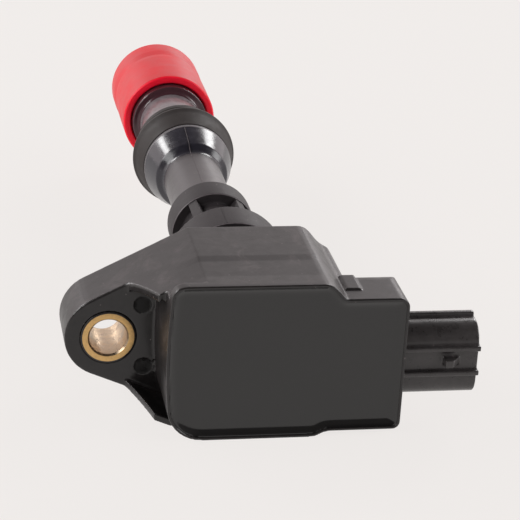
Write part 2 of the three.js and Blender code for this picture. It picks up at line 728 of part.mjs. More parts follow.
// The coil lies on the head's lower wall, its box centred over the origin.
const left = BUSH.x - EAR_RADIUS;
const right = PLUG.end + RIDGE_OVERHANG;
coil.rotation.x = Math.PI / 2;
coil.position.set(-(left + right) / 2, -BOOT.far / 2, -HEAD_BOTTOM);

const part = new THREE.Group();
part.add(coil);
part.updateMatrixWorld(true);

export default part;
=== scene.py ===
"""Plug-top ignition coil: the moulded head with its ear and connector, the tower, its seal and the boot."""

import math

import bmesh
import bpy
import numpy as np
from bpy.props import FloatProperty, FloatVectorProperty, IntProperty, PointerProperty
from mathutils import Euler, Matrix, Vector, noise


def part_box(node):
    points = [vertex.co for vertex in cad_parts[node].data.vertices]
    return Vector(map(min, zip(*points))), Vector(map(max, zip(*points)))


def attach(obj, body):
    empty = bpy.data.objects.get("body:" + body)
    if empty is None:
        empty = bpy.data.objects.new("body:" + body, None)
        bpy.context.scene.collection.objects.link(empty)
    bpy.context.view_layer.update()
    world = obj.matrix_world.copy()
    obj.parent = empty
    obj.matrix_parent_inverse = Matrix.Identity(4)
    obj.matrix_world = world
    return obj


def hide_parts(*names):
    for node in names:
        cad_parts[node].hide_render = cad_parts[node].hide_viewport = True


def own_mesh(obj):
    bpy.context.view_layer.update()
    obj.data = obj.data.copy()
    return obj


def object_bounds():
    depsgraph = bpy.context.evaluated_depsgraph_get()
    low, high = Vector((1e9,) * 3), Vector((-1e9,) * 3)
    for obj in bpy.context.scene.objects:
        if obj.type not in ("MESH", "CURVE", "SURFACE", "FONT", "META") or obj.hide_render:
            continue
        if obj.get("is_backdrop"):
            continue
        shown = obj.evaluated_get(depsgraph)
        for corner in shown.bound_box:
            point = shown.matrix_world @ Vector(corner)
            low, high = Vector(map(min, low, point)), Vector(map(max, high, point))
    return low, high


bl_info = {
    "name": "Ignition Coil",
    "version": (1, 0, 0),
    "blender": (4, 5, 0),
    "location": "3D View > Sidebar > Coil",
    "description": "Builds the visible pieces and finishes of a plug-top ignition coil",
    "category": "Object",
}

MM = 0.001
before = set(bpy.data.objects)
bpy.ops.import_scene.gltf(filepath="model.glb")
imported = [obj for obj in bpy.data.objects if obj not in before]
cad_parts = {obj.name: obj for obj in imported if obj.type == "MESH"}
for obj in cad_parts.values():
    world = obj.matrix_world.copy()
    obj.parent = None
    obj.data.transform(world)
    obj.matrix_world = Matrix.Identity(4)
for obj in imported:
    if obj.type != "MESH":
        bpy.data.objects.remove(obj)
CAD_LOW, CAD_HIGH = (tuple(corner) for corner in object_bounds())
BOOT_LOW, BOOT_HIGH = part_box("plug_boot")
BUSH_LOW, BUSH_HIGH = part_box("mounting_bush")
SPRING_LOW, SPRING_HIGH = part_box("contact_spring")
TIP_LOW, TIP_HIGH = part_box("contact_tip")

# The tower's axis runs along Y through the middle of the boot. Depth is measured back from the head's rim.
AXIS_X = (BOOT_LOW.x + BOOT_HIGH.x) / 2
AXIS_Z = (BOOT_LOW.z + BOOT_HIGH.z) / 2
RIM_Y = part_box("case")[0].y

# The middle of the bush and its outer radius.
BUSH = (BUSH_LOW + BUSH_HIGH) / 2
BUSH_RADIUS = (BUSH_HIGH.x - BUSH_LOW.x) / 2

# Radii and depths of the tower that several pieces share, in millimetres.
TUBE, TUBE_FAR, COLLAR, RING, FLANGE = 6.22, 7.0, 11.4, 8.55, 9.47
COLLAR_NEAR, COLLAR_FAR = 29.75, 38.1
RING_NEAR, RING_FAR = 52.4, 59.2
FLANGE_FAR = 91.2
SHOULDER, SHOULDER_NEAR = 8.55, 119.9
NECK, NECK_NEAR = 7.4, 127.0
TOWER_END = 134.0

# How far the seal and the boot's inside stay clear of the tower, in millimetres.
GAP = 0.3


def depth_of(y):
    """Depth behind the head's rim, in millimetres."""
    return (y - RIM_Y) / MM


# ---------------------------------------------------------------- settings


class CoilSizes(bpy.types.PropertyGroup):
    """Sizes of the details that the frame leaves open."""

    skin: FloatProperty(
        name="Skin detail",
        description="Size of the smallest detail kept on the moulded case",
        default=0.2 * MM,
        min=0.1 * MM,
        unit="LENGTH",
    )
    potting_level: FloatProperty(
        name="Potting level",
        description="How far the potting lies below the rim in the middle of the head",
        default=0.95 * MM,
        unit="LENGTH",
    )
    creep_height: FloatProperty(
        name="Creep height",
        description="How far the potting creeps up the wall",
        default=0.78 * MM,
        unit="LENGTH",
    )
    creep_width: FloatProperty(
        name="Creep width",
        description="How far from the wall the potting begins to rise",
        default=2.1 * MM,
        unit="LENGTH",
    )
    seam: FloatProperty(
        name="Seam height",
        description="How far the mould's parting line stands proud of the tower",
        default=0.09 * MM,
        unit="LENGTH",
    )
    spring_turns: IntProperty(
        name="Spring turns",
        description="Turns of the contact spring",
        default=18,
        min=4,
    )


def colour_property(name, description, default):
    return FloatVectorProperty(name=name, description=description, subtype="COLOR", size=3, default=default)


class CoilColours(bpy.types.PropertyGroup):
    """Base colours of the visible finishes."""

    case: colour_property("Case", "Glass-filled plastic of the head", (0.011, 0.0098, 0.0098))
    potting: colour_property("Potting", "Cast epoxy in the head", (0.0055, 0.0052, 0.005))
    tower: colour_property("Tower", "Plastic of the high-voltage tower", (0.040, 0.034, 0.036))
    seal: colour_property("Seal", "Rubber of the well seal", (0.022, 0.0175, 0.0165))
    boot: colour_property("Boot", "Silicone rubber of the plug boot", (0.53, 0.009, 0.015))
    bush: colour_property("Bush", "Brass of the mounting bush", (0.62, 0.40, 0.17))


# ---------------------------------------------------------------- finishes

# The finishes made so far, by name.
made = {}

BRASS = (0.66, 0.46, 0.22)
TIN = (0.62, 0.6, 0.56)

# Most values of a noise pattern lie between these.
COMMON = (0.3, 0.7)

# Specks and rub marks: their tint, the size of their patterns, and the values between which they set in.
DUST = (0.13, 0.105, 0.108)
HAZE_SIZE, HAZE_EDGE = 6.5, (0.52, 0.72)
SPECK_SPACING, SPECK_EDGE = 2.1, (0.085, 0.05)

# The length of one wave of the Wave node's pattern at a scale of 1.
WAVE_LENGTH = 6.3

# The Mix node's sockets when it mixes colours: the factor and the two colours, and the result.
MIX_COLOUR_INPUTS = (0, 6, 7)
MIX_COLOUR_OUTPUT = 2


def ranged(tree, source, start, stop, low, high, eased=False):
    """A value that runs from low to high as the source runs from start to stop."""
    node = tree.nodes.new("ShaderNodeMapRange")
    if eased:
        node.interpolation_type = "SMOOTHSTEP"
    for socket, value in zip(("From Min", "From Max", "To Min", "To Max"), (start, stop, low, high)):
        node.inputs[socket].default_value = value
    tree.links.new(source, node.inputs["Value"])
    return node.outputs["Result"]


def toned(colour, share):
    """The colour made lighter or darker."""
    return tuple(channel * share for channel in colour)


def finish(
    name, colour, roughness, metal=0.0, grain=0.25, bump=0.12, mottle=0.12, spread=0.05,
    patch=3.0, specks=0.0, haze=0.0, brushed=None, coils=0.0, sockets=None,
):
    """A finish whose colour drifts over patches and whose gloss is broken by a fine grain, in millimetres.

    brushed stretches the grain along an axis, specks scatters pale dust, haze lays on cloudy rub marks, and
    coils lays on turns of wire.
    """
    if name in made:
        return made[name]
    material = bpy.data.materials.new(name)
    material.use_nodes = True
    nodes, links = material.node_tree.nodes, material.node_tree.links
    shader = nodes["Principled BSDF"]
    shader.inputs["Metallic"].default_value = metal
    for socket, value in (sockets or {}).items():
        shader.inputs[socket].default_value = value
    place = nodes.new("ShaderNodeTexCoord")

    def pattern(kind, size, **inputs):
        node = nodes.new(kind)
        node.inputs["Scale"].default_value = 1 / (size * MM)
        for key, value in inputs.items():
            node.inputs[key].default_value = value
        links.new(place.outputs["Object"], node.inputs["Vector"])
        return node

    broad = pattern("ShaderNodeTexNoise", patch, Detail=4.0, Roughness=0.6)
    tint = nodes.new("ShaderNodeValToRGB")
    for element, spot, level in zip(tint.color_ramp.elements, COMMON, (1 - mottle, 1 + mottle)):
        element.position = spot
        element.color = (*(min(channel, 1.0) for channel in toned(colour, level)), 1.0)
    links.new(broad.outputs["Fac"], tint.inputs["Fac"])
    base = tint.outputs["Color"]

    fine = pattern("ShaderNodeTexNoise", grain, Detail=3.0, Roughness=0.55)
    if brushed is not None:
        stretch = nodes.new("ShaderNodeMapping")
        stretch.inputs["Scale"].default_value = tuple(0.04 if axis == brushed else 1.0 for axis in range(3))
        links.new(place.outputs["Object"], stretch.inputs["Vector"])
        links.new(stretch.outputs["Vector"], fine.inputs["Vector"])
    height = fine.outputs["Fac"]

    def overlay(base, source, edge, amount, pale):
        """Mixes a pale colour over the base where the source has passed the edge."""
        blend = nodes.new("ShaderNodeMix")
        blend.data_type = "RGBA"
        factor, below, above = (blend.inputs[i] for i in MIX_COLOUR_INPUTS)
        links.new(ranged(material.node_tree, source, *edge, 0.0, amount), factor)
        links.new(base, below)
        above.default_value = (*pale, 1.0)
        return blend.outputs[MIX_COLOUR_OUTPUT]

    pale = tuple(min(channel * 2.0 + dust, 1.0) for channel, dust in zip(colour, DUST))
    if haze:
        cloud = pattern("ShaderNodeTexNoise", HAZE_SIZE, Detail=6.0, Roughness=0.75, Distortion=0.8)
        base = overlay(base, cloud.outputs["Fac"], HAZE_EDGE, haze, pale)
    if specks:
        dust = pattern("ShaderNodeTexVoronoi", SPECK_SPACING, Randomness=1.0)
        base = overlay(base, dust.outputs["Distance"], SPECK_EDGE, specks, pale)

    if coils:
        turns = nodes.new("ShaderNodeTexWave")
        turns.bands_direction = "X"
        turns.inputs["Scale"].default_value = 1 / (coils * MM) / WAVE_LENGTH
        turns.inputs["Distortion"].default_value = 0.4
        links.new(place.outputs["Object"], turns.inputs["Vector"])
        height = turns.outputs["Fac"]

    smoothest, roughest = max(roughness - spread, 0.02), min(roughness + spread, 1.0)
    gloss = ranged(material.node_tree, broad.outputs["Fac"], *COMMON, smoothest, roughest)
    relief = nodes.new("ShaderNodeBump")
    relief.inputs["Strength"].default_value = bump
    relief.inputs["Distance"].default_value = 0.06 * MM
    links.new(height, relief.inputs["Height"])
    links.new(base, shader.inputs["Base Color"])
    links.new(gloss, shader.inputs["Roughness"])
    links.new(relief.outputs["Normal"], shader.inputs["Normal"])
    made[name] = material
    return material


def case_plastic(colours):
    return finish(
        "case_plastic", colours.case, 0.36, grain=0.22, bump=0.10, mottle=0.2, patch=2.6, specks=0.4,
        haze=0.26, spread=0.07, sockets={"Specular IOR Level": 0.28, "Specular Tint": (1.0, 0.93, 0.94, 1.0)},
    )


# Forward-facing case plastic: glossier, and its colour 1.6 times lighter as painted light, standing in for
# the lamp light the front lacks.
def face_plastic_painted_light(colours):
    return finish(
        "face_plastic_painted_light", toned(colours.case, 1.6), 0.2, grain=0.3, bump=0.07, mottle=0.2, patch=2.0,
        specks=0.5, spread=0.06, sockets={"Specular IOR Level": 0.42},
    )


def mark_plastic(colours):
    dark = toned(colours.case, 0.5)
    return finish("mark_plastic", dark, 0.3, grain=0.3, sockets={"Specular IOR Level": 0.24})


# The connector shroud: the case's own plastic, 3.2 times lighter as painted light.
def shroud_plastic_painted_light(colours):
    return finish(
        "shroud_plastic_painted_light", toned(colours.case, 3.2), 0.3, grain=0.8, bump=0.05, mottle=0.2, patch=1.5,
        specks=0.35, spread=0.05, sockets={"Specular IOR Level": 0.5},
    )


def tower_plastic(colours):
    return finish(
        "tower_plastic", colours.tower, 0.34, grain=0.16, bump=0.14, specks=0.3, spread=0.05,
        sockets={"Specular IOR Level": 0.42},
    )


def matte_plastic(colours):
    return finish(
        "matte_plastic", toned(colours.tower, 0.68), 0.55, grain=0.2, bump=0.2, mottle=0.15, patch=1.4,
        specks=0.6, spread=0.05, sockets={"Specular IOR Level": 0.18},
    )


# Thin light lines on the tower's rims and along its seam: painted highlights.
def edge_plastic_painted_highlight(colours):
    light = toned(colours.tower, 2.2)
    return finish("edge_plastic_painted_highlight", light, 0.5, grain=0.2, bump=0.1, mottle=0.3, patch=0.8)


def polished_plastic(colours):
    red, green, blue = colours.tower
    dark = (red * 0.5, green * 0.55, blue * 0.7)
    return finish("polished_plastic", dark, 0.2, grain=0.3, bump=0.05, spread=0.07, patch=1.2, specks=0.3)


# The far tube between the seal and the boot: the tower plastic 3.6 times lighter, painted light standing in
# for the reflections that brighten it.
def far_plastic_painted_light(colours):
    light = toned(colours.tower, 3.6)
    return finish("far_plastic_painted_light", light, 0.2, grain=0.3, bump=0.06, mottle=0.25, patch=1.8, specks=0.3)


# The flare inside the boot's mouth, tinted dark magenta: a painted reflection of the red boot.
def flare_plastic_painted_reflection():
    return finish("flare_plastic_painted_reflection", (0.055, 0.02, 0.026), 0.14, grain=0.3, bump=0.03, spread=0.04)


# ---------------------------------------------------------------- building helpers


def add_object(name, mesh):
    piece = bpy.data.objects.new(name, mesh)
    bpy.context.scene.collection.objects.link(piece)
    return piece


def settle(piece, body, slot, *nodes):
    """Says which body the piece rides on and the frame's nodes that it stands for. The slot is not used."""
    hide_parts(*nodes)
    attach(piece, body)
    return piece


def baked(piece):
    """Turns the piece's modifiers into its mesh."""
    bpy.context.view_layer.update()
    graph = bpy.context.evaluated_depsgraph_get()
    mesh = bpy.data.meshes.new_from_object(piece.evaluated_get(graph))
    piece.modifiers.clear()
    piece.data = mesh
    return piece


def skinned(piece, size):
    """Covers the piece with one closed skin of even faces."""
    skin = piece.modifiers.new("Skin", "REMESH")
    skin.mode = "VOXEL"
    skin.voxel_size = size


def smoothed(piece, name, rounds, group=""):
    """Smooths the piece, or the part of it that a vertex group names."""
    ease = piece.modifiers.new(name, "SMOOTH")
    ease.factor = 0.5
    ease.iterations = rounds
    ease.vertex_group = group


def vertex_places(mesh):
    """The places of the mesh's vertices, one to a row."""
    places = np.empty(len(mesh.vertices) * 3)
    mesh.vertices.foreach_get("co", places)
    return places.reshape(-1, 3)


def place_vertices(mesh, places):
    """Puts the mesh's vertices at the places."""
    mesh.vertices.foreach_set("co", places.ravel())
    mesh.update()


def face_outwards(mesh):
    """Turns the normals of the closed mesh outwards."""
    work = bmesh.new()
    work.from_mesh(mesh)
    bmesh.ops.recalc_face_normals(work, faces=work.faces)
    work.to_mesh(mesh)
    work.free()


def shade(mesh, angle=32.0):
    """Shades the mesh smooth, but for edges sharper than the angle in degrees."""
    mesh.polygons.foreach_set("use_smooth", [True] * len(mesh.polygons))
    mesh.set_sharp_from_angle(angle=math.radians(angle))


# The most that one rounded corner may take of a side, which leaves room for the corner at its other end.
SIDE_SHARE = 0.48


def rounded(profile, steps=5):
    """Rounds the corners of a closed profile of (radius, depth, rounding, finish) points, in millimetres."""
    points, finishes = [], []
    for i, (radius, depth, size, kind) in enumerate(profile):
        here = Vector((radius, depth))
        before = Vector(profile[i - 1][:2]) - here
        after = Vector(profile[(i + 1) % len(profile)][:2]) - here
        if size <= 0:
            points.append(here)
            finishes.append(kind)
            continue
        reach = size / max(math.tan(before.angle(after) / 2), 0.01)
        reach = min(reach, before.length * SIDE_SHARE, after.length * SIDE_SHARE)
        start, end = here + before.normalized() * reach, here + after.normalized() * reach
        for k in range(steps + 1):
            t = k / steps
            points.append(start * (1 - t) ** 2 + here * 2 * t * (1 - t) + end * t * t)
            finishes.append(kind)
    return points, finishes


def turned(name, profile, materials, segments=144, centre=None):
    """Turns a closed profile of (radius, depth, rounding, finish) points about the tower or another axis."""
    x, z = centre or (AXIS_X, AXIS_Z)
    points, finishes = rounded(profile)
    verts, faces, kinds, rows = [], [], [], []
    for radius, depth in points:
        y = RIM_Y + depth * MM
        if radius < 1e-6:
            rows.append([len(verts)] * segments)
            verts.append((x, y, z))
            continue
        rows.append(range(len(verts), len(verts) + segments))
        for k in range(segments):
            angle = 2 * math.pi * k / segments
            verts.append((x + radius * MM * math.cos(angle), y, z + radius * MM * math.sin(angle)))
    for i, row in enumerate(rows):
        below = rows[(i + 1) % len(rows)]
        if row[0] == row[1] and below[0] == below[1]:
            continue
        for k in range(segments):
            ring = [row[k], row[(k + 1) % segments], below[(k + 1) % segments], below[k]]
            face = [v for j, v in enumerate(ring) if v not in ring[:j]]
            faces.append(face)
            kinds.append(finishes[i])
    mesh = bpy.data.meshes.new(name)
    mesh.from_pydata(verts, [], faces)
    for material in materials:
        mesh.materials.append(material)
    mesh.polygons.foreach_set("material_index", kinds)
    face_outwards(mesh)
    shade(mesh)
    return add_object(name, mesh)


# Vertices nearer to each other than this are one.
SAME_PLACE = 0.001 * MM


def copied(node, name):
    """A new piece with a frame node's shape, its vertices joined up."""
    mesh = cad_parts[node].data.copy()
    mesh.name = name
    mesh.materials.clear()
    work = bmesh.new()
    work.from_mesh(mesh)
    bmesh.ops.remove_doubles(work, verts=work.verts, dist=SAME_PLACE)
    bmesh.ops.dissolve_limit(
        work, angle_limit=math.radians(0.5), use_dissolve_boundaries=False, verts=work.verts, edges=work.edges
    )
    work.to_mesh(mesh)
    work.free()
    return add_object(name, mesh)


# ---------------------------------------------------------------- pieces


class COIL_OT_case(bpy.types.Operator):
    """Moulds the head, ear and connector shroud in one skin with eased edges"""

    bl_idname = "coil.case"
    bl_label = "Case"

    # The shroud's finish starts at this place along the connector. Its colour is the case plastic made 3.2
    # times lighter: painted light, standing in for the front light the lamps don't give.
    SHROUD_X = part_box("connector_pin_1")[0].x + 3.2 * MM

    # The near part of the top wall drops at a crease. The drop fades out towards the rim and down the wall.
    CREASE_DEPTH = 13.9
    CREASE_RUN = 2.2
    CREASE_DROP = 0.16 * MM
    CREASE_RIM = 1.0
    CREASE_FADE = 4.0
    CREASE_HEIGHT = 2 * MM

    # The ridges along the shroud keep this share of what they reach past its mouth.
    MOUTH_X = CAD_HIGH[0] - 0.35 * MM
    MOUTH_KEEP = 0.3

    # The ear's near edge is softened within this depth, and this far clear of the bush.
    RIM_REACH = 1.3 * MM
    RIM_CLEAR = 1.4 * MM

    # The ejector marks, from the middle of the bush, and their radius and depth.
    MARKS = ((6.145 * MM, 6.3 * MM), (6.545 * MM, -6.0 * MM))
    MARK_SIZE = 1.65 * MM
    MARK_DEPTH = 0.05 * MM

    # The CAD's dimple at a mark is filled as far as its pit reaches, and more thinly as far as its brim does.
    PIT_REACH, PIT_DEPTH = 1.25 * MARK_SIZE, 0.7 * MM
    BRIM_REACH, BRIM_DEPTH = 1.5 * MARK_SIZE, 0.2 * MM

    # A face belongs to the front when its normal's Y is below this, and to the ear's front within this depth.
    # Front faces take the lighter finish, which is painted light.
    FORWARD = -0.2
    EAR_DEPTH = 0.6 * MM

    # The share of the skin's faces that stays, and how much coarser a quick skin is.
    KEPT_FACES = 0.22
    QUICK_SKIN = 1.8

    # SHROUD and FACE are lighter copies of the case plastic: painted light.
    CASE, SHROUD, FACE, MARK = range(4)

    def mark_distance(self, x, z):
        """How far a point of the ear's near face lies from the nearest ejector mark."""
        return np.minimum(*(np.hypot(x - BUSH.x - right, z - BUSH.z - up) for right, up in self.MARKS))

    def press_marks(self, mesh):
        """Leaves the two ejector marks as shallow flat discs in the ear's near face."""
        places = vertex_places(mesh)
        off = self.mark_distance(places[:, 0], places[:, 2])
        step = np.abs(places[:, 1] - BUSH_LOW.y)
        pit = (off < self.PIT_REACH) & (step < self.PIT_DEPTH)
        brim = (off < self.BRIM_REACH) & (step < self.BRIM_DEPTH)
        around = pit | brim
        if around.any():
            level = np.median(places[around & (off > self.PIT_REACH), 1])
            places[around, 1] = level + np.where(off[around] < self.MARK_SIZE, self.MARK_DEPTH, 0)
        place_vertices(mesh, places)

    def ear_rim(self, mesh):
        """The vertices around the near edge of the ear, clear of the bush."""
        places = vertex_places(mesh)
        clear = BUSH_RADIUS + self.RIM_CLEAR
        off = np.hypot(places[:, 0] - BUSH.x, places[:, 2] - BUSH.z)
        near = np.abs(places[:, 1] - BUSH_LOW.y) < self.RIM_REACH
        return np.nonzero(near & (off > clear) & (places[:, 0] < BUSH.x + clear))[0].tolist()

    def draw_in(self, mesh):
        """Drops the near part of the top wall where the mould's halves meet, and trims the ridges' ends."""
        places = vertex_places(mesh)
        past = np.maximum(places[:, 0] - self.MOUTH_X, 0)
        places[:, 0] -= past * (1 - self.MOUTH_KEEP)
        depth = depth_of(places[:, 1])
        fall = np.clip((self.CREASE_DEPTH - depth) / self.CREASE_RUN, 0, 1)
        fall *= np.clip((depth - self.CREASE_RIM) / self.CREASE_FADE, 0, 1)
        fall *= np.clip(1 - (CAD_HIGH[2] - places[:, 2]) / self.CREASE_HEIGHT, 0, 1)
        places[:, 2] -= fall * self.CREASE_DROP
        place_vertices(mesh, places)

    def finish_of(self, face):
        """Which of the case's finishes a face has."""
        middle = face.center
        if middle.x > self.SHROUD_X:
            return self.SHROUD
        if face.normal.y >= self.FORWARD:
            return self.CASE
        on_ear = abs(middle.y - BUSH_LOW.y) < self.EAR_DEPTH
        if on_ear and self.mark_distance(middle.x, middle.z) < self.MARK_SIZE:
            return self.MARK
        return self.FACE

    def execute(self, context):
        sizes, colours = context.scene.coil_sizes, context.scene.coil_colours
        piece = copied("case", "case_moulding")
        skinned(piece, sizes.skin * (1.0))
        smoothed(piece, "Ease", 3)
        baked(piece)
        self.draw_in(piece.data)
        group = piece.vertex_groups.new(name="Ear rim")
        group.add(self.ear_rim(piece.data), 1.0, "REPLACE")
        smoothed(piece, "Soften", 14, group.name)
        baked(piece)
        self.press_marks(piece.data)
        thin = piece.modifiers.new("Thin", "DECIMATE")
        thin.ratio = self.KEPT_FACES
        baked(piece)
        mesh = piece.data
        for plastic in (case_plastic, shroud_plastic_painted_light, face_plastic_painted_light, mark_plastic):
            mesh.materials.append(plastic(colours))
        for face in mesh.polygons:
            face.material_index = self.finish_of(face)
        mesh.polygons.foreach_set("use_smooth", [True] * len(mesh.polygons))
        even = piece.modifiers.new("Even", "WEIGHTED_NORMAL")
        even.keep_sharp = True
        settle(piece, "coil_body", "case_plastic", "case")
        return {"FINISHED"}


def near_outline(node):
    """The outline of a node's flat near face, as x and z in order, in metres."""
    work = bmesh.new()
    work.from_mesh(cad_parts[node].data)
    bmesh.ops.remove_doubles(work, verts=work.verts, dist=SAME_PLACE)
    near = min(vert.co.y for vert in work.verts)
    flat = {face for face in work.faces if all(vert.co.y - near < SAME_PLACE for vert in face.verts)}
    edges = [edge for edge in work.edges if sum(face in flat for face in edge.link_faces) == 1]
    joins = {}
    for edge in edges:
        for vert in edge.verts:
            joins.setdefault(vert, []).append(edge.other_vert(vert))
    if not joins or any(len(ends) != 2 for ends in joins.values()):
        raise RuntimeError(f"{node} has no single near face")
    start = next(iter(joins))
    loop, before, here = [start], start, joins[start][0]
    while here != start:
        loop.append(here)
        before, here = here, next(v for v in joins[here] if v != before)
    outline = [Vector((vert.co.x, vert.co.z)) for vert in loop]
    work.free()
    return outline


def grown(outline, distance):
    """The outline moved outwards by a distance."""
    following = outline[1:] + outline[:1]
    area = sum(here.x * after.y - after.x * here.y for here, after in zip(outline, following))
    side = 1 if area > 0 else -1
    moved = []
    for i, (here, after) in enumerate(zip(outline, following)):
        into = (here - outline[i - 1]).normalized()
        out = (after - here).normalized()
        square = Vector((into.y, -into.x)) * side
        middle = (square + Vector((out.y, -out.x)) * side).normalized()
        moved.append(here + middle * distance / max(middle.dot(square), 0.5))
    return moved


def wall_distance(points, outline):
    """How far each point lies from the nearest edge of the outline."""
    nearest = np.full(len(points), 1e9)
    for i, end in enumerate(outline):
        a, b = np.array(outline[i - 1]), np.array(end)
        along = b - a
        t = np.clip(((points - a) @ along) / max(along @ along, 1e-18), 0, 1)
        nearest = np.minimum(nearest, np.linalg.norm(points - (a + t[:, None] * along), axis=1))
    return nearest


class COIL_OT_potting(bpy.types.Operator):
    """Pours the epoxy that closes the head, with the rim that creeps up its walls"""

    bl_idname = "coil.potting"
    bl_label = "Potting"

    # How far the wall lies outside the CAD's outline, how far the potting goes into it, and how thick it is.
    WALL_GAP = 0.3 * MM
    BITE = 0.25 * MM
    THICKNESS = 1.0 * MM

    # The size of its faces, how steeply it climbs the wall, and the swell of its surface.
    SKIN = 0.3 * MM
    CREEP_CURVE = 2.3
    RIPPLE_LENGTH = 9 * MM
    RIPPLE_HEIGHT = 0.02 * MM

    def execute(self, context):
        sizes, colours = context.scene.coil_sizes, context.scene.coil_colours
        outline = near_outline("potting_compound")
        wall = grown(outline, self.WALL_GAP)
        edge = grown(outline, self.WALL_GAP + self.BITE)
        level = RIM_Y + sizes.potting_level
        count = len(edge)
        verts = [(p.x, level, p.y) for p in edge] + [(p.x, level + self.THICKNESS, p.y) for p in edge]
        faces = [list(range(count)), list(range(2 * count - 1, count - 1, -1))]
        faces += [[i, (i + 1) % count, count + (i + 1) % count, count + i] for i in range(count)]
        mesh = bpy.data.meshes.new("potting_surface")
        mesh.from_pydata(verts, [], faces)
        piece = add_object("potting_surface", mesh)
        skinned(piece, self.SKIN)
        baked(piece)
        mesh = piece.data
        places = vertex_places(mesh)
        top = places[:, 1] < level + self.THICKNESS / 2
        reach = wall_distance(places[:, [0, 2]], wall)
        climb = np.clip(1 - reach / sizes.creep_width, 0, 1) ** self.CREEP_CURVE * sizes.creep_height
        swell = np.array([noise.noise(Vector(place) / self.RIPPLE_LENGTH) for place in places])
        places[:, 1] -= np.where(top, climb + swell * self.RIPPLE_HEIGHT, 0)
        place_vertices(mesh, places)
        mesh.materials.append(
            finish(
                "potting_epoxy", colours.potting, 0.15, grain=0.5, bump=0.02, mottle=0.1, patch=6,
                specks=0.06, spread=0.02, sockets={"Specular IOR Level": 0.62},
            )
        )
        shade(mesh, 50)
        settle(piece, "coil_body", "potting_epoxy", "potting_compound")
        return {"FINISHED"}


class COIL_OT_bush(bpy.types.Operator):
    """Turns the brass bush in the ear"""

    bl_idname = "coil.bush"
    bl_label = "Mounting bush"

    # The brass wall, and the ring of plastic pressed round it, in millimetres.
    WALL = 1.35
    PRESSED = 0.29

    FACE, BORE, SLEEVE = range(3)

    def execute(self, context):
        outer = BUSH_RADIUS / MM
        bore, pressed_out = outer - self.WALL, outer + self.PRESSED
        near, far = depth_of(BUSH_LOW.y), depth_of(BUSH_HIGH.y)
        profile = [
            (bore + 0.3, near, 0.06, self.FACE),
            (outer - 0.04, near, 0.0, self.SLEEVE),
            (pressed_out, near + 0.1, 0.06, self.SLEEVE),
            (pressed_out, far - 0.1, 0.06, self.SLEEVE),
            (outer - 0.04, far, 0.0, self.FACE),
            (bore + 0.3, far, 0.06, self.BORE),
            (bore, far - 0.4, 0.06, self.BORE),
            (bore, near + 0.4, 0.06, self.BORE),
        ]
        brass = finish(
            "bush_brass", context.scene.coil_colours.bush, 0.42, metal=1.0, grain=0.12, bump=0.25,
            mottle=0.22, patch=0.8, spread=0.12, specks=0.3,
        )
        # Paler brass in the bore and its chamfers: painted light, standing in for the light the bore gives
        # back. Its grain runs along the bore.
        bore_painted_light = finish(
            "bore_brass_painted_light", (0.52, 0.40, 0.28), 0.36, metal=1.0, grain=0.2, bump=0.2, mottle=0.3, patch=1.2,
            spread=0.14, brushed=1,
        )
        # The pressed ring takes the front finish, lightened as painted light.
        pressed = face_plastic_painted_light(context.scene.coil_colours)
        piece = turned("mounting_bush_turned", profile, [brass, bore_painted_light, pressed], 96, (BUSH.x, BUSH.z))
        settle(piece, "coil_body", "brass", "mounting_bush")
        return {"FINISHED"}


# EDGE carries painted highlights, FAR painted light on the far tube, and FLARE a painted reflection of the
# red boot.
SATIN, POLISHED, MATTE, EDGE, FAR, FLARE = range(6)

# The tower's closed profile: radius, depth and rounding in millimetres, and the finish that starts there.
TOWER_PROFILE = [
    (6.9, 26.1, 0, MATTE),
    (6.9, 28.1, 0, MATTE),
    (8.4, 28.1, 0, MATTE),
    (8.4, COLLAR_NEAR, 0.1, MATTE),
    (COLLAR - 0.12, COLLAR_NEAR, 0.08, EDGE),
    (COLLAR, COLLAR_NEAR + 0.2, 0.1, MATTE),
    (COLLAR, COLLAR_FAR - 0.1, 0.1, EDGE),
    (COLLAR - 0.12, COLLAR_FAR, 0.05, MATTE),
    (TUBE + 0.3, COLLAR_FAR, 0.5, MATTE),
    (TUBE + 0.3, RING_NEAR, 0.4, MATTE),
    (RING - 0.16, RING_NEAR, 0.08, EDGE),
    (RING, RING_NEAR + 0.2, 0.1, MATTE),
    (RING, RING_FAR, 0.3, MATTE),
    (TUBE, RING_FAR, 0.6, SATIN),
    (TUBE, 83.0, 1.7, POLISHED),
    (TUBE + 1.45, 84.3, 1.0, POLISHED),
    (FLANGE - 0.07, FLANGE_FAR - 1.05, 0.2, EDGE),
    (FLANGE, FLANGE_FAR - 0.8, 0.15, POLISHED),
    (FLANGE, FLANGE_FAR, 0.1, SATIN),
    (TUBE_FAR, FLANGE_FAR, 0, FAR),
    (TUBE_FAR, SHOULDER_NEAR, 2.2, FLARE),
    (SHOULDER, SHOULDER_NEAR, 0.3, FLARE),
    (SHOULDER, NECK_NEAR, 0.2, SATIN),
    (NECK, NECK_NEAR, 0, SATIN),
    (NECK, TOWER_END - 0.8, 0.2, SATIN),
    (6.6, TOWER_END, 0.2, SATIN),
    (3.6, TOWER_END, 0.2, SATIN),
    (3.6, 30.5, 0, SATIN),
    (1.3, 30.5, 0, SATIN),
    (1.3, 26.1, 0, SATIN),
]
WEB_ANGLES = (55, 125, 235, 305)
SEAM_ANGLES = (97, 277)


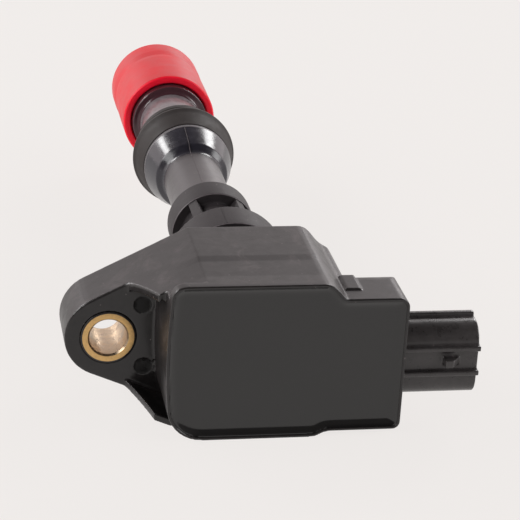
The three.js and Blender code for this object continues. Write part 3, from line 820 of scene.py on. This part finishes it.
def fin(name, angle, outline, half, kind, materials, eased=0.0):
    """A flat piece that stands out from the tower, with an outline of (radius, depth) points."""
    spin = Matrix.Rotation(-math.radians(angle), 3, "Y")
    corners = []
    for side in (-half, half):
        for radius, depth in outline:
            place = spin @ Vector((radius * MM, 0, side * MM))
            corners.append((AXIS_X + place.x, RIM_Y + depth * MM, AXIS_Z + place.z))
    count = len(outline)
    faces = [tuple(range(count)), tuple(range(2 * count - 1, count - 1, -1))]
    faces += [(i, count + i, count + (i + 1) % count, (i + 1) % count) for i in range(count)]
    mesh = bpy.data.meshes.new(name)
    mesh.from_pydata(corners, [], faces)
    for material in materials:
        mesh.materials.append(material)
    work = bmesh.new()
    work.from_mesh(mesh)
    bmesh.ops.recalc_face_normals(work, faces=work.faces)
    if eased:
        bmesh.ops.bevel(work, geom=work.edges[:], offset=eased * MM, segments=3, affect="EDGES", profile=0.5)
    for face in work.faces:
        face.material_index = kind
    work.to_mesh(mesh)
    work.free()
    return add_object(name, mesh)


def weld(piece, parts):
    """Joins the parts into the piece as one closed body."""
    for part in parts:
        join = piece.modifiers.new("Join", "BOOLEAN")
        join.operation = "UNION"
        join.solver = "EXACT"
        join.object = part
    baked(piece)
    for part in parts:
        bpy.data.objects.remove(part)


class COIL_OT_tower(bpy.types.Operator):
    """Turns the high-voltage tower, with its webs and the mould's parting line"""

    bl_idname = "coil.tower"
    bl_label = "High-voltage tower"

    # Half the thickness of a web, of the seam along the tube and of the seam across the collar.
    WEB_HALF = 0.95
    SEAM_HALF = 0.06
    RIM_SEAM_HALF = 0.08

    def execute(self, context):
        sizes, colours = context.scene.coil_sizes, context.scene.coil_colours
        plastics = (tower_plastic, polished_plastic, matte_plastic, edge_plastic_painted_highlight, far_plastic_painted_light)
        materials = [plastic(colours) for plastic in plastics] + [flare_plastic_painted_reflection()]
        piece = turned("hv_tower_moulding", TOWER_PROFILE, materials, 160)
        web = [
            (TUBE - 0.6, COLLAR_FAR - 0.5), (RING - 0.3, COLLAR_FAR - 0.5),
            (RING - 0.3, RING_NEAR + 0.5), (TUBE - 0.6, RING_NEAR + 0.5),
        ]
        top = TUBE + sizes.seam / MM
        seam = [
            (TUBE - 0.4, 58.9), (top, 58.9), (top, 82.3), (top + 0.35, 82.9), (TUBE + 1.6, 84.2),
            (FLANGE - 0.03, 89.9), (FLANGE - 0.4, 90.1), (TUBE + 0.6, 85.4), (TUBE - 0.4, 84.0),
        ]
        low, high = COLLAR - 0.3, COLLAR + 0.05
        rim = [(low, 30.2), (high, 30.2), (high, 37.8), (low, 37.8)]
        parts = [fin("web", angle, web, self.WEB_HALF, MATTE, materials, 0.15) for angle in WEB_ANGLES]
        for angle in SEAM_ANGLES:
            parts.append(fin("seam", angle, seam, self.SEAM_HALF, EDGE, materials))
            parts.append(fin("seam", angle, rim, self.RIM_SEAM_HALF, MATTE, materials))
        weld(piece, parts)
        shade(piece.data)
        settle(piece, "coil_body", "tower_plastic", "hv_tower")
        return {"FINISHED"}


class COIL_OT_seal(bpy.types.Operator):
    """Turns the rubber seal that closes the plug well"""

    bl_idname = "coil.seal"
    bl_label = "Well seal"

    def execute(self, context):
        bore, skirt, waist, bead = TUBE_FAR + GAP, 11.17, 9.1, 9.5
        profile = [
            (bore, 91.6, 0.1, 0),
            (FLANGE + 0.05, 91.6, 0.15, 0),
            (skirt - 0.55, 96.1, 0.4, 0),
            (skirt - 0.4, 96.5, 0.12, 0),
            (skirt, 97.3, 0.3, 0),
            (skirt - 0.1, 98.1, 0.25, 0),
            (skirt - 0.7, 98.2, 0.2, 0),
            (waist + 0.2, 95.2, 0.3, 0),
            (waist, 96.0, 0.3, 0),
            (bead, 97.6, 0.3, 0),
            (bead, 99.6, 0.3, 0),
            (waist, 100.4, 0.3, 0),
            (waist, 102.2, 0.3, 0),
            (bead, 103.0, 0.3, 0),
            (bead, 104.4, 0.3, 0),
            (waist - 0.2, 105.4, 0.2, 0),
            (bore, 105.4, 0.1, 0),
        ]
        rubber = finish(
            "seal_rubber", context.scene.coil_colours.seal, 0.62, grain=0.18, bump=0.35, mottle=0.2,
            patch=1.6, spread=0.08, specks=0.12, sockets={"Specular IOR Level": 0.25},
        )
        piece = turned("well_seal_moulding", profile, [rubber])
        settle(piece, "coil_body", "seal_rubber", "well_seal")
        return {"FINISHED"}


class COIL_OT_boot(bpy.types.Operator):
    """Turns the silicone boot that grips the spark plug"""

    bl_idname = "coil.boot"
    bl_label = "Plug boot"

    # How far the grip rings in the bore lie from the boot's mouth.
    GRIP_RINGS = (4.1, 7.5)

    BODY, LIP = range(2)

    def execute(self, context):
        near, far = depth_of(BOOT_LOW.y), depth_of(BOOT_HIGH.y)
        outer = (BOOT_HIGH.x - BOOT_LOW.x) / 2 / MM
        lip, bore = 8.75, 6.1
        profile = [
            (lip, near + 0.35, 0.3, self.LIP),
            (lip + 0.3, near, 0.2, self.LIP),
            (outer - 0.4, near, 0.15, self.LIP),
            (outer - 0.1, near + 0.35, 0.2, self.BODY),
            (outer - 0.06, near + 8, 2.0, self.BODY),
            (outer - 0.1, far - 10.0, 1.6, self.BODY),
            (outer - 0.24, far - 8.2, 1.6, self.BODY),
            (outer, far - 5.8, 2.0, self.BODY),
            (outer, far, 1.0, self.BODY),
            (bore + 1.0, far, 0.3, self.BODY),
            (bore, far - 1.0, 0.3, self.BODY),
        ]
        for ring in self.GRIP_RINGS:
            profile += [
                (bore, far - ring + 0.5, 0.2, self.BODY),
                (bore - 0.35, far - ring, 0.2, self.BODY),
                (bore, far - ring - 0.5, 0.2, self.BODY),
            ]
        profile += [
            (bore, TOWER_END + GAP, 0.1, self.BODY),
            (NECK + GAP, TOWER_END + GAP, 0.1, self.BODY),
            (NECK + GAP, NECK_NEAR + 0.6, 0.1, self.BODY),
            (lip, NECK_NEAR + 0.6, 0.1, self.LIP),
        ]
        soft = {
            "Subsurface Weight": 0.35,
            "Subsurface Radius": (1.0, 0.25, 0.2),
            "Subsurface Scale": 1.2 * MM,
        }
        silicone = finish(
            "boot_silicone", context.scene.coil_colours.boot, 0.46, grain=0.35, bump=0.06, mottle=0.07,
            patch=5, spread=0.07, specks=0.14, haze=0.04, sockets={**soft, "Specular IOR Level": 0.33},
        )
        # The lip and the inside of the mouth: the same silicone in a lighter, deeper red, painted light where
        # the lip faces the front.
        lip_painted_light = finish(
            "boot_lip_painted_light", (0.85, 0.006, 0.03), 0.4, grain=0.35, bump=0.05, mottle=0.06, patch=3,
            sockets={**soft, "Specular IOR Level": 0.3},
        )
        piece = turned("plug_boot_moulding", profile, [silicone, lip_painted_light])
        settle(piece, "boot", "boot_silicone", "plug_boot")
        return {"FINISHED"}


class COIL_OT_contact(bpy.types.Operator):
    """Winds the contact spring and turns its tip"""

    bl_idname = "coil.contact"
    bl_label = "Contact spring and tip"

    # The wire's radius and the tip's stroke in millimetres, and the wire's points around and along.
    WIRE = 0.45
    STROKE = 5.0
    AROUND = 10
    STEPS_PER_TURN = 40

    # The radius of the tip's stem, which stands in the spring.
    STEM = 2.1

    def wound(self, turns):
        """The spring's wire as a closed mesh that winds about the tower's axis."""
        radius = (SPRING_HIGH.x - SPRING_LOW.x) / 2 - self.WIRE * MM
        low, high = SPRING_LOW.y + self.WIRE * MM, SPRING_HIGH.y - self.WIRE * MM
        around, steps = self.AROUND, turns * self.STEPS_PER_TURN
        verts, faces = [], []
        for step in range(steps + 1):
            t = step / steps
            angle = 2 * math.pi * turns * t
            out = Vector((math.cos(angle), 0, math.sin(angle)))
            centre = Vector((AXIS_X, low + (high - low) * t, AXIS_Z)) + out * radius
            for k in range(around):
                turn = 2 * math.pi * k / around
                side = out * math.cos(turn) + Vector((0, math.sin(turn), 0))
                verts.append(centre + side * self.WIRE * MM)
        for step in range(steps):
            for k in range(around):
                a, b = step * around + k, step * around + (k + 1) % around
                faces.append((a, b, b + around, a + around))
        faces.append(tuple(range(around - 1, -1, -1)))
        faces.append(tuple(range(steps * around, (steps + 1) * around)))
        mesh = bpy.data.meshes.new("contact_spring_wound")
        mesh.from_pydata(verts, [], faces)
        face_outwards(mesh)
        return mesh

    def spring(self, turns):
        mesh = self.wound(turns)
        mesh.materials.append(
            finish("spring_steel", (0.5, 0.5, 0.52), 0.3, metal=1.0, grain=0.1, bump=0.1, brushed=1)
        )
        shade(mesh, 60)
        spring = add_object("contact_spring_wound", mesh)
        settle(spring, "coil_body", "spring_steel", "contact_spring")
        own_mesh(spring)

    def tip(self):
        near, far = depth_of(TIP_LOW.y), depth_of(TIP_HIGH.y)
        wide = (TIP_HIGH.x - TIP_LOW.x) / 2 / MM
        profile = [
            (0, near, 0, 0),
            (wide, near, 0.2, 0),
            (wide, near + 1.4, 0.2, 0),
            (self.STEM, near + 1.9, 0.2, 0),
            (self.STEM, far - 1.2, 0.3, 0),
            (1.5, far - 0.3, 0.3, 0),
            (0.8, far, 0.2, 0),
            (0, far, 0, 0),
        ]
        brass = finish("contact_brass", BRASS, 0.3, metal=1.0, grain=0.1, bump=0.1)
        tip = turned("contact_tip_turned", profile, [brass], 64)
        settle(tip, "spring_contact", "brass", "contact_tip")

    def execute(self, context):
        self.spring(context.scene.coil_sizes.spring_turns)
        self.tip()
        return {"FINISHED"}


class COIL_OT_pins(bpy.types.Operator):
    """Forms the three connector pins with chamfered ends"""

    bl_idname = "coil.pins"
    bl_label = "Connector pins"

    def execute(self, context):
        tin = finish("tinned_brass", TIN, 0.28, metal=1.0, grain=0.15, bump=0.12, brushed=0)
        for i in (1, 2, 3):
            node = f"connector_pin_{i}"
            piece = copied(node, f"{node}_formed")
            ease = piece.modifiers.new("Ease", "BEVEL")
            ease.width = 0.16 * MM
            ease.segments = 3
            baked(piece)
            piece.data.materials.append(tin)
            shade(piece.data)
            settle(piece, "coil_body", "tinned_brass", node)
        return {"FINISHED"}


class COIL_OT_inside(bpy.types.Operator):
    """Gives the pieces inside the head and tower their finishes"""

    bl_idname = "coil.inside"
    bl_label = "Inside pieces"

    def execute(self, context):
        steel = finish("core_steel", (0.16, 0.165, 0.17), 0.42, metal=1.0, grain=0.35, bump=0.3, brushed=0)
        bobbin = finish("bobbin_plastic", (0.66, 0.61, 0.5), 0.5, grain=0.2, bump=0.1)
        fine_copper = finish("secondary_copper", (0.36, 0.11, 0.04), 0.32, metal=1.0, coils=0.08, bump=0.5)
        copper = finish("primary_copper", (0.5, 0.19, 0.07), 0.3, metal=1.0, coils=0.5, bump=0.6)
        brass = finish("terminal_brass", BRASS, 0.3, metal=1.0, grain=0.1, bump=0.1)
        tin = finish("tinned_lead", TIN, 0.28, metal=1.0, grain=0.15, bump=0.12, brushed=0)
        magnet = finish("magnet", (0.06, 0.06, 0.065), 0.5, metal=0.6, grain=0.3, bump=0.2)
        epoxy = finish("module_epoxy", (0.012, 0.012, 0.013), 0.55, grain=0.15, bump=0.2)
        aluminium = finish("aluminium", (0.6, 0.61, 0.63), 0.35, metal=1.0, grain=0.2, brushed=2)
        ceramic = finish("resistor_ceramic", (0.62, 0.58, 0.48), 0.55, grain=0.12, bump=0.2)
        finishes = {
            "core_outer": steel,
            "core_center": steel,
            "bias_magnet": magnet,
            "primary_bobbin": bobbin,
            "secondary_bobbin": bobbin,
            "primary_winding": copper,
            "igniter_module": epoxy,
            "igniter_heat_sink": aluminium,
            "primary_lead_1": tin,
            "primary_lead_2": tin,
            "hv_terminal": brass,
            "noise_resistor": ceramic,
            "resistor_cap_head": brass,
            "resistor_cap_plug": brass,
        }
        for i in range(1, 6):
            finishes[f"secondary_winding_{i}"] = fine_copper
        for node, material in finishes.items():
            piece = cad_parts[node]
            for slot in piece.material_slots:
                slot.material = material
        return {"FINISHED"}


# ---------------------------------------------------------------- stage


def soft_box(name, place, target, size, power):
    """A rectangular light at a place, aimed at a target."""
    light = bpy.data.lights.new(name, "AREA")
    light.shape = "RECTANGLE"
    light.size, light.size_y = size
    light.energy = power
    holder = bpy.data.objects.new(name, light)
    holder.location = place
    holder.rotation_euler = (Vector(target) - Vector(place)).to_track_quat("-Z", "Y").to_euler()
    bpy.context.scene.collection.objects.link(holder)


class COIL_OT_stage(bpy.types.Operator):
    """Sets the pale floor, the soft light and the camera"""

    bl_idname = "coil.stage"
    bl_label = "Stage"

    # The floor's half width, its own colour, and the colour and strength of its glow.
    FLOOR_HALF = 4.0
    FLOOR_COLOUR = (0.06, 0.058, 0.056)
    FLOOR_GLOW = (0.87, 0.84, 0.822)
    FLOOR_STRENGTH = 0.92

    # The world's tint, and its fades: along which axis, from where to where, and from what level to what.
    SKY_TINT = (1.0, 0.925, 0.925)
    SKY = (
        ("Z", 0.45, 0.8, 1.08, 0.12),
        ("Y", -0.35, 0.1, 0.13, 1.0),
        ("X", -0.4, -0.7, 1.0, 1.6),
        ("X", 0.15, 0.5, 1.0, 1.45),
    )

    # Each light's name, place in metres, size in metres and power in watts. They all aim at LIT.
    LIT = (0.0, 0.0, 0.015)
    LIGHTS = (
        ("left_box", (-0.66, -0.12, 0.42), (0.9, 0.3), 4.6),
        ("right_box", (0.67, -0.24, 0.33), (0.7, 0.26), 3.3),
        ("left_back_box", (-0.52, 0.5, 0.41), (0.3, 0.14), 1.9),
        ("right_back_box", (0.44, 0.55, 0.43), (0.3, 0.2), 2.1),
    )

    # The camera's place in metres, its turn in degrees and its lens in millimetres.
    CAMERA_PLACE = (-0.066681, -0.385857, 0.168101)
    CAMERA_TURN = (67.2419, -3.1087, -9.8653)
    CAMERA_LENS = 138.54

    def floor(self):
        half = self.FLOOR_HALF
        mesh = bpy.data.meshes.new("floor")
        corners = [(-half, -half, 0), (half, -half, 0), (half, half, 0), (-half, half, 0)]
        mesh.from_pydata(corners, [], [(0, 1, 2, 3)])
        floor = add_object("floor", mesh)
        material = bpy.data.materials.new("pale_floor")
        material.use_nodes = True
        shader = material.node_tree.nodes["Principled BSDF"]
        shader.inputs["Base Color"].default_value = (*self.FLOOR_COLOUR, 1)
        shader.inputs["Roughness"].default_value = 0.9
        shader.inputs["Specular IOR Level"].default_value = 0.0
        shader.inputs["Emission Color"].default_value = (*self.FLOOR_GLOW, 1)
        shader.inputs["Emission Strength"].default_value = self.FLOOR_STRENGTH
        mesh.materials.append(material)
        floor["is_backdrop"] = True

    def sky(self, context):
        """Bright behind and beside the coil up to a middling height, dark in front and overhead."""
        world = bpy.data.worlds.new("studio")
        world.use_nodes = True
        nodes, links = world.node_tree.nodes, world.node_tree.links
        place = nodes.new("ShaderNodeTexCoord")
        split = nodes.new("ShaderNodeSeparateXYZ")
        links.new(place.outputs["Generated"], split.inputs["Vector"])
        strength = None
        for axis, *fade in self.SKY:
            join = nodes.new("ShaderNodeMath")
            join.operation = "MULTIPLY"
            join.inputs[0].default_value = 1.0
            if strength:
                links.new(strength, join.inputs[0])
            links.new(ranged(world.node_tree, split.outputs[axis], *fade, eased=True), join.inputs[1])
            strength = join.outputs["Value"]
        links.new(strength, nodes["Background"].inputs["Strength"])
        nodes["Background"].inputs["Color"].default_value = (*self.SKY_TINT, 1)
        context.scene.world = world

    def camera(self, context):
        lens = bpy.data.cameras.new("camera")
        lens.sensor_width = 36.0
        lens.lens = self.CAMERA_LENS
        lens.clip_start = 0.01
        holder = bpy.data.objects.new("camera", lens)
        turn = Euler([math.radians(angle) for angle in self.CAMERA_TURN])
        holder.matrix_world = Matrix.LocRotScale(Vector(self.CAMERA_PLACE), turn, None)
        context.scene.collection.objects.link(holder)
        context.scene.camera = holder

    def execute(self, context):
        self.floor()
        self.sky(context)
        for name, place, size, power in self.LIGHTS:
            soft_box(name, place, self.LIT, size, power)
        self.camera(context)
        context.scene.view_settings.view_transform = "Standard"
        return {"FINISHED"}


# ---------------------------------------------------------------- panel and run

PIECES = (
    COIL_OT_stage,
    COIL_OT_case,
    COIL_OT_potting,
    COIL_OT_bush,
    COIL_OT_tower,
    COIL_OT_seal,
    COIL_OT_boot,
    COIL_OT_contact,
    COIL_OT_pins,
    COIL_OT_inside,
)


class COIL_PT_panel(bpy.types.Panel):
    """Lists the coil's settings and pieces"""

    bl_label = "Ignition Coil"
    bl_idname = "COIL_PT_panel"
    bl_space_type = "VIEW_3D"
    bl_region_type = "UI"
    bl_category = "Coil"

    def draw(self, context):
        for group in (context.scene.coil_sizes, context.scene.coil_colours):
            column = self.layout.column(align=True)
            for name in group.__annotations__:
                column.prop(group, name)
        for piece in PIECES:
            self.layout.operator(piece.bl_idname)


CLASSES = (CoilSizes, CoilColours, *PIECES, COIL_PT_panel)


def register():
    for item in CLASSES:
        bpy.utils.register_class(item)
    bpy.types.Scene.coil_sizes = PointerProperty(type=CoilSizes)
    bpy.types.Scene.coil_colours = PointerProperty(type=CoilColours)


def unregister():
    del bpy.types.Scene.coil_colours
    del bpy.types.Scene.coil_sizes
    for item in reversed(CLASSES):
        bpy.utils.unregister_class(item)


def main():
    register()
    for piece in PIECES:
        group, action = piece.bl_idname.split(".")
        getattr(getattr(bpy.ops, group), action)()


if __name__ == "__main__":
    main()
